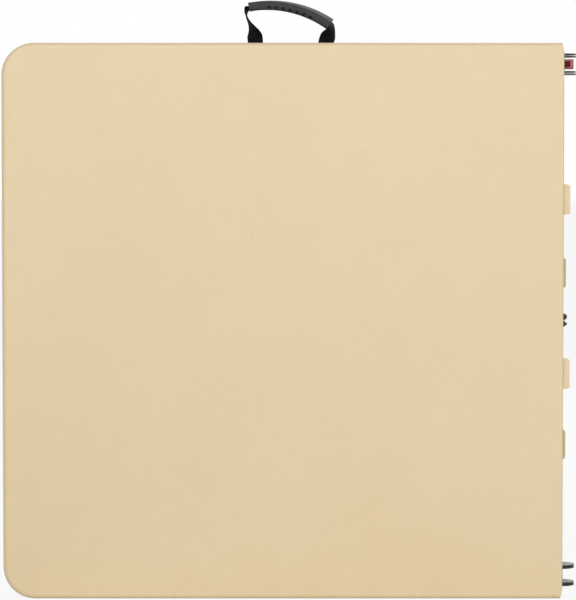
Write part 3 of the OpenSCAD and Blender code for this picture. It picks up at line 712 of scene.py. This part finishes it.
def makeBolt():
    low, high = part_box("lock_bolt")
    past, gap, outline = bolt["past"], bolt["panelGap"], bolt["outline"]
    rise, bedded = bolt["panelRise"], bolt["bedded"]
    face, back = low.y + bolt["raised"], low.y + bolt["thick"]
    body = block("lockBolt", (low.x, face, low.z), (high.x, back, high.z))
    combine(body, block("thumbTab", (low.x, back - past, low.z),
                        (low.x + bolt["thumb"], high.y, high.z)), "UNION")
    step, half = bolt["thumb"] / (bolt["grooves"] + 1), bolt["grooveWide"] / 2
    for number in range(bolt["grooves"]):
        x = low.x + step * (number + 1)
        combine(body, block("groove", (x - half, high.y - bolt["grooveDeep"], low.z - past),
                            (x + half, high.y + past, high.z + past)), "DIFFERENCE")
    atTip, atSides = bolt["frameWide"]
    inner = outline + atSides
    panelLow = Vector((high.x - bolt["panel"], face - past, low.z + inner))
    panelHigh = Vector((high.x - outline - atTip, face + bolt["sunk"], high.z - inner))
    combine(body, block("panelCut", panelLow, panelHigh), "DIFFERENCE")
    roundEdges(body, bolt["corner"] / 2, 3, 40)
    dress(body, finishes["lock_red"], "lock_red", "lock_bolt", "lock_bolt")

    # a thin dark sheet laid in the pocket: painted shade, darker than the bar's own red
    panel = block("lockPanel", (panelLow.x + gap, panelHigh.y - rise, panelLow.z + gap),
                  (panelHigh.x - gap, panelHigh.y + bedded, panelHigh.z - gap))
    roundEdges(panel, gap, 2, 40)
    dress(panel, lockDark, "lock_red", "lock_bolt", "lock_bolt")

    # the raised frame takes the lighter red, a painted highlight
    border = block("lockFrame", (panelLow.x - bolt["frameUnder"], low.y, low.z + outline),
                   (high.x - outline, face + bedded, high.z - outline))
    combine(border, block("frameCut", panelLow, panelHigh + Vector((0, past, 0))), "DIFFERENCE")
    roundEdges(border, bolt["frameEdge"], 2, 40)
    dress(border, lockRubbed, "lock_red", "lock_bolt", "lock_bolt")


makeBolt()
print("lock bolt made")


# Handle: webbing through a moulded grip

handle = {
    "centre": (0.00085, -0.0028, 0.7573),
    "span": 0.0964,
    "arch": 0.147,
    "length": 0.112,
    "lean": math.radians(11.6),
    "middle": 0.0478,
    "width": 0.025,
    "thick": 0.0122,
    "corner": 0.0052,
    "cornerRounds": 7,
    "edge": 0.0005,
    "steps": 56,
    "longer": math.radians(0.6),    # the right end reaches a little further round
    "twists": (math.radians(1), math.radians(20)),    # left and right, its front edge turned down
    "slot": (0.0218, 0.0028),
    "slotPast": math.radians(2),
    "slotSteps": 40,
    "dimples": 7,
    "pitch": 0.010,
    "dimpleRadius": 0.0023,
    "dimpleDepth": 0.005,
    "dimpleLow": 0.18,    # how far below the middle, as a share of the thickness
}
endAngle = math.asin(handle["length"] / 2 / handle["arch"])


def archPoint(turn):
    a, r = handle["lean"], handle["arch"]
    return Vector((r * (math.sin(turn + a) - math.sin(a)), 0,
                   handle["middle"] + r * (math.cos(turn + a) - math.cos(a))))


def archAlong(turn):
    return Vector((math.cos(turn + handle["lean"]), 0, -math.sin(turn + handle["lean"])))


def archCentre():
    return Vector(handle["centre"]) + archPoint(0) - handle["arch"] * Vector(
        (math.sin(handle["lean"]), 0, math.cos(handle["lean"])))


def twistAt(turn):
    first, last = handle["twists"]
    return first + (last - first) * (turn + endAngle) / (2 * endAngle)


def archBar(name, wide, deep, reach, steps, corner=0, rounds=0):    # swept along the arch
    clearSelection()
    centre, first = archCentre(), handle["lean"] - reach
    sweep = 2 * reach + handle["longer"]
    place = centre + handle["arch"] * Vector((math.sin(first), 0, math.cos(first)))
    bpy.ops.mesh.primitive_plane_add(size=1, location=place, rotation=(0, first + math.pi / 2, 0))
    bar = bpy.context.active_object
    bar.name = name
    bar.scale = (deep, wide, 1)
    settle(bar)
    openMesh(bar, "VERT", everything=True)
    if corner:
        bpy.ops.mesh.bevel(offset=corner, segments=rounds, affect="VERTICES")
        bpy.ops.mesh.select_all(action="SELECT")
    bpy.ops.mesh.spin(steps=steps, angle=-sweep, center=centre, axis=(0, 1, 0))
    closeMesh()
    return bar


def makeGrip():
    grip = archBar("handleGrip", handle["width"], handle["thick"], endAngle, handle["steps"],
                   handle["corner"], handle["cornerRounds"])
    slot = archBar("slot", *handle["slot"], endAngle + handle["slotPast"], handle["slotSteps"])
    combine(grip, slot, "DIFFERENCE")
    centre = archCentre()
    away = handle["arch"] - handle["thick"] * handle["dimpleLow"]
    for number in range(handle["dimples"]):
        fromMiddle = number - (handle["dimples"] - 1) / 2
        turn = handle["lean"] + fromMiddle * handle["pitch"] / handle["arch"]
        for side in (-1, 1):
            clearSelection()
            bpy.ops.mesh.primitive_cylinder_add(
                vertices=20, radius=handle["dimpleRadius"], depth=2 * handle["dimpleDepth"],
                rotation=(math.pi / 2, 0, 0),
                location=centre + Vector((away * math.sin(turn), side * handle["width"] / 2,
                                          away * math.cos(turn))))
            hole = bpy.context.active_object
            settle(hole)
            combine(grip, hole, "DIFFERENCE")
    roundEdges(grip, handle["edge"], 2, 40)
    for vertex in grip.data.vertices:
        turn = math.atan2(vertex.co.x - centre.x, vertex.co.z - centre.z) - handle["lean"]
        middle = Vector(handle["centre"]) + archPoint(turn)
        turning = Matrix.Rotation(twistAt(turn), 3, archAlong(turn))
        vertex.co = middle + turning @ (vertex.co - middle)
    return dress(grip, finishes["grip_plastic"], "grip_plastic", "handle", "handle_grip")


makeGrip()
print("grip made")

webbing = {    # -1 is the left side, 1 the right
    "width": 0.021,
    "thick": 0.002,
    "edge": 0.0006,
    "past": 0.0004,
    "bend": 0.0025,
    "fall": {-1: math.radians(65), 1: math.radians(75)},    # how steeply it leaves the bend
    "pullShare": 0.34,
    "riseShare": {-1: 0.52, 1: 0.37},
    "flare": {-1: 0.0, 1: 0.001},
    "twistShare": {-1: 0.91, 1: 0.75},    # where on its way down it has turned flat
    "twistPower": {-1: 4.4, 1: 2.0},
    "forward": {-1: 0.0, 1: 0.0016},    # keeps its edge clear of the rims when the handle lies back
    "curl": {-1: math.radians(-16), 1: 0.0},    # how far it turns over where it leaves the grip
    "curlEnd": 0.27,
    "held": 0.0143,    # each end, between the halves
    "steps": (9, 44, 8, 40),    # along a held end, a drop, a bend and the grip
    "grid": (400, 10),
}


def heading(side, angle):    # outwards on one side and downwards by an angle
    return Vector((side * math.cos(angle), 0, -math.sin(angle)))


def gripEnd(side):
    return side * endAngle + (handle["longer"] if side > 0 else 0)


def exitAngle(side):
    return side * (gripEnd(side) + handle["lean"])


def bendAngle(side, share):
    first = exitAngle(side)
    return first + (webbing["fall"][side] - first) * share


def bendPoint(side, share):    # the webbing's short bend at each end of the grip
    first, quarter = exitAngle(side), math.pi / 2
    start = archPoint(gripEnd(side)) + webbing["past"] * heading(side, first)
    swing = heading(side, first + quarter) - heading(side, bendAngle(side, share) + quarter)
    return start + webbing["bend"] * swing


def dropPoint(side, t):    # from that bend down to its seat, turning flat on the way
    a = bendPoint(side, 1)
    b = a + webbing["pullShare"] * a.z * heading(side, webbing["fall"][side])
    d = Vector((side * handle["span"] / 2, 0, 0))
    c = Vector((d.x + webbing["flare"][side], 0, webbing["riseShare"][side] * a.z))
    point = (1 - t) ** 3 * a + 3 * t * (1 - t) ** 2 * b + 3 * t ** 2 * (1 - t) * c + t ** 3 * d
    point.y -= webbing["forward"][side] * math.sin(math.pi * t) ** 2
    along = ((1 - t) ** 2 * (b - a) + 2 * t * (1 - t) * (c - b) + t ** 2 * (d - c)).normalized()
    first = twistAt(gripEnd(side))
    turned = min(1, t / webbing["twistShare"][side]) ** webbing["twistPower"][side]
    curl = webbing["curl"][side] * max(0, 1 - t / webbing["curlEnd"])
    return point, frontEdge(side * along, first + (math.pi / 2 - first) * turned + curl)


def frontEdge(along, twist):    # from the webbing's middle towards the edge that faces the front
    return Vector((math.sin(twist) * along.z, -math.cos(twist), -math.sin(twist) * along.x))


def bendEdge(side, share):
    twist = twistAt(gripEnd(side)) + webbing["curl"][side] * share
    return frontEdge(side * heading(side, bendAngle(side, share)), twist)


def webbingRoute():
    heldSteps, dropSteps, bendSteps, gripSteps = webbing["steps"]
    flat, seat, held = Vector((1, 0, 0)), handle["span"] / 2, webbing["held"]
    route = [(Vector((-seat, 0, -held * (1 - k / heldSteps))), flat) for k in range(heldSteps)]
    route += [dropPoint(-1, 1 - k / dropSteps) for k in range(dropSteps)]
    for k in range(bendSteps + 1):
        share = 1 - k / bendSteps
        route.append((bendPoint(-1, share), bendEdge(-1, share)))
    for k in range(gripSteps + 1):
        turn = gripEnd(-1) + (gripEnd(1) - gripEnd(-1)) * k / gripSteps
        route.append((archPoint(turn), frontEdge(archAlong(turn), twistAt(turn))))
    for k in range(bendSteps + 1):
        route.append((bendPoint(1, k / bendSteps), bendEdge(1, k / bendSteps)))
    route += [dropPoint(1, k / dropSteps) for k in range(1, dropSteps + 1)]
    route += [(Vector((seat, 0, -held * k / heldSteps)), -flat) for k in range(1, heldSteps + 1)]
    return route


def makeWebbingStrip():
    route = webbingRoute()
    lengths = [0.0]
    for (before, _), (after, _) in zip(route, route[1:]):
        lengths.append(lengths[-1] + (after - before).length)
    total = lengths[-1]
    clearSelection()
    along, across = webbing["grid"]
    bpy.ops.mesh.primitive_grid_add(x_subdivisions=along, y_subdivisions=across, size=1,
                                    calc_uvs=True)
    strip = bpy.context.active_object
    strip.name = "handleWebbing"
    strip.data.uv_layers[0].name = "stripMap"
    origin = Vector(handle["centre"])
    for vertex in strip.data.vertices:
        reach = (vertex.co.x + 0.5) * total
        k = max(i for i, s in enumerate(lengths[:-1]) if s <= reach + 1e-9)
        share = (reach - lengths[k]) / (lengths[k + 1] - lengths[k])
        middle = route[k][0].lerp(route[k + 1][0], share)
        wide = route[k][1].lerp(route[k + 1][1], share).normalized()
        vertex.co = origin + middle + wide * vertex.co.y * webbing["width"]
    applyModifier(strip, "SOLIDIFY", thickness=webbing["thick"], offset=0)
    roundEdges(strip, webbing["edge"], 3, 50)
    strip.data.materials.clear()
    strip.data.materials.append(finishes["webbing"])
    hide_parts("handle_strap", "strap_ends")
    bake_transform(strip)
    print("webbing", round(total, 4), "m long")
    return strip


makeWebbingStrip()


# Camera, lamps and floor

view = {
    "place": (-0.0028, -4.3467, 0.62),
    "lens": 190.5,
    "pitch": math.radians(2.823),    # looks slightly down on the lower hinge
}
cameraData = bpy.data.cameras.new("camera")
cameraData.sensor_width = 36
cameraData.lens = view["lens"]
camera = bpy.data.objects.new("camera", cameraData)
camera.location = view["place"]
camera.rotation_euler = (math.pi / 2 - view["pitch"], 0, 0)
bpy.context.scene.collection.objects.link(camera)
bpy.context.scene.camera = camera

lamps = {
    "above": {"place": (-0.7, -4.4, 2.9), "size": 2.0, "power": 103, "colour": (0.98, 1.0, 1.01)},
    "front": {"place": (1.4, -4.9, 0.7), "size": 2.4, "power": 73, "colour": (1.0, 0.975, 0.92)},
    "back": {"place": (1.4, 2.8, 2.4), "size": 2.0, "power": 40, "colour": (1.0, 1.0, 1.0)},
}
target = Vector((0, 0, 0.38))
for name, lamp in lamps.items():
    data = bpy.data.lights.new(name, "AREA")
    data.shape = "SQUARE"
    data.size = lamp["size"]
    data.energy = lamp["power"]
    data.color = lamp["colour"]
    light = bpy.data.objects.new(name, data)
    light.location = lamp["place"]
    light.rotation_euler = (target - Vector(lamp["place"])).to_track_quat("-Z", "Y").to_euler()
    bpy.context.scene.collection.objects.link(light)


def seenDirectly(tree):    # camera, glossy and transmission rays see the plain white background
    path = addNode(tree, "LightPath")
    either = maths(tree, "MAXIMUM", path.outputs["Is Camera Ray"], path.outputs["Is Glossy Ray"])
    return maths(tree, "MAXIMUM", either, path.outputs["Is Transmission Ray"])


surroundings = {
    "level": 0.3,
    "tint": (1.0, 0.99, 0.975, 1),
    "floor": tone(236, 236, 235),
    "floorSize": 60,
    "floorDrop": 0.0002,    # keeps it just clear of the standing edge
    "shadow": 0.1,    # how much of the floor's shadow shows on the white
}
world = bpy.data.worlds.new("studio")
bpy.context.scene.world = world
world.use_nodes = True
tree = world.node_tree
tree.nodes.clear()
lit = addNode(tree, "Background",
              {"Color": surroundings["tint"], "Strength": surroundings["level"]})
plain = addNode(tree, "Background", {"Color": (1, 1, 1, 1), "Strength": 1.0})
chosen = addNode(tree, "MixShader", {0: seenDirectly(tree), 1: lit.outputs[0], 2: plain.outputs[0]})
addNode(tree, "OutputWorld", {0: chosen.outputs[0]})

clearSelection()
bpy.ops.mesh.primitive_plane_add(size=1, location=(0, 0, -surroundings["floorDrop"]))
floor = bpy.context.active_object
floor.name = "floor"
floor.scale = (surroundings["floorSize"], surroundings["floorSize"], 1)
settle(floor)
paper = bpy.data.materials.new("floorPaper")
paper.use_nodes = True
tree = paper.node_tree
tree.nodes.clear()
matt = addNode(tree, "BsdfDiffuse", {"Color": surroundings["floor"]})
white = addNode(tree, "Emission", {"Color": (1, 1, 1, 1), "Strength": 1.0})
share = maths(tree, "MULTIPLY", seenDirectly(tree), 1 - surroundings["shadow"])
mixed = addNode(tree, "MixShader", {0: share, 1: matt.outputs[0], 2: white.outputs[0]})
addNode(tree, "OutputMaterial", {0: mixed.outputs[0]})
floor.data.materials.append(paper)

bpy.context.scene.view_settings.view_transform = "Standard"
print("camera, lamps and floor set")
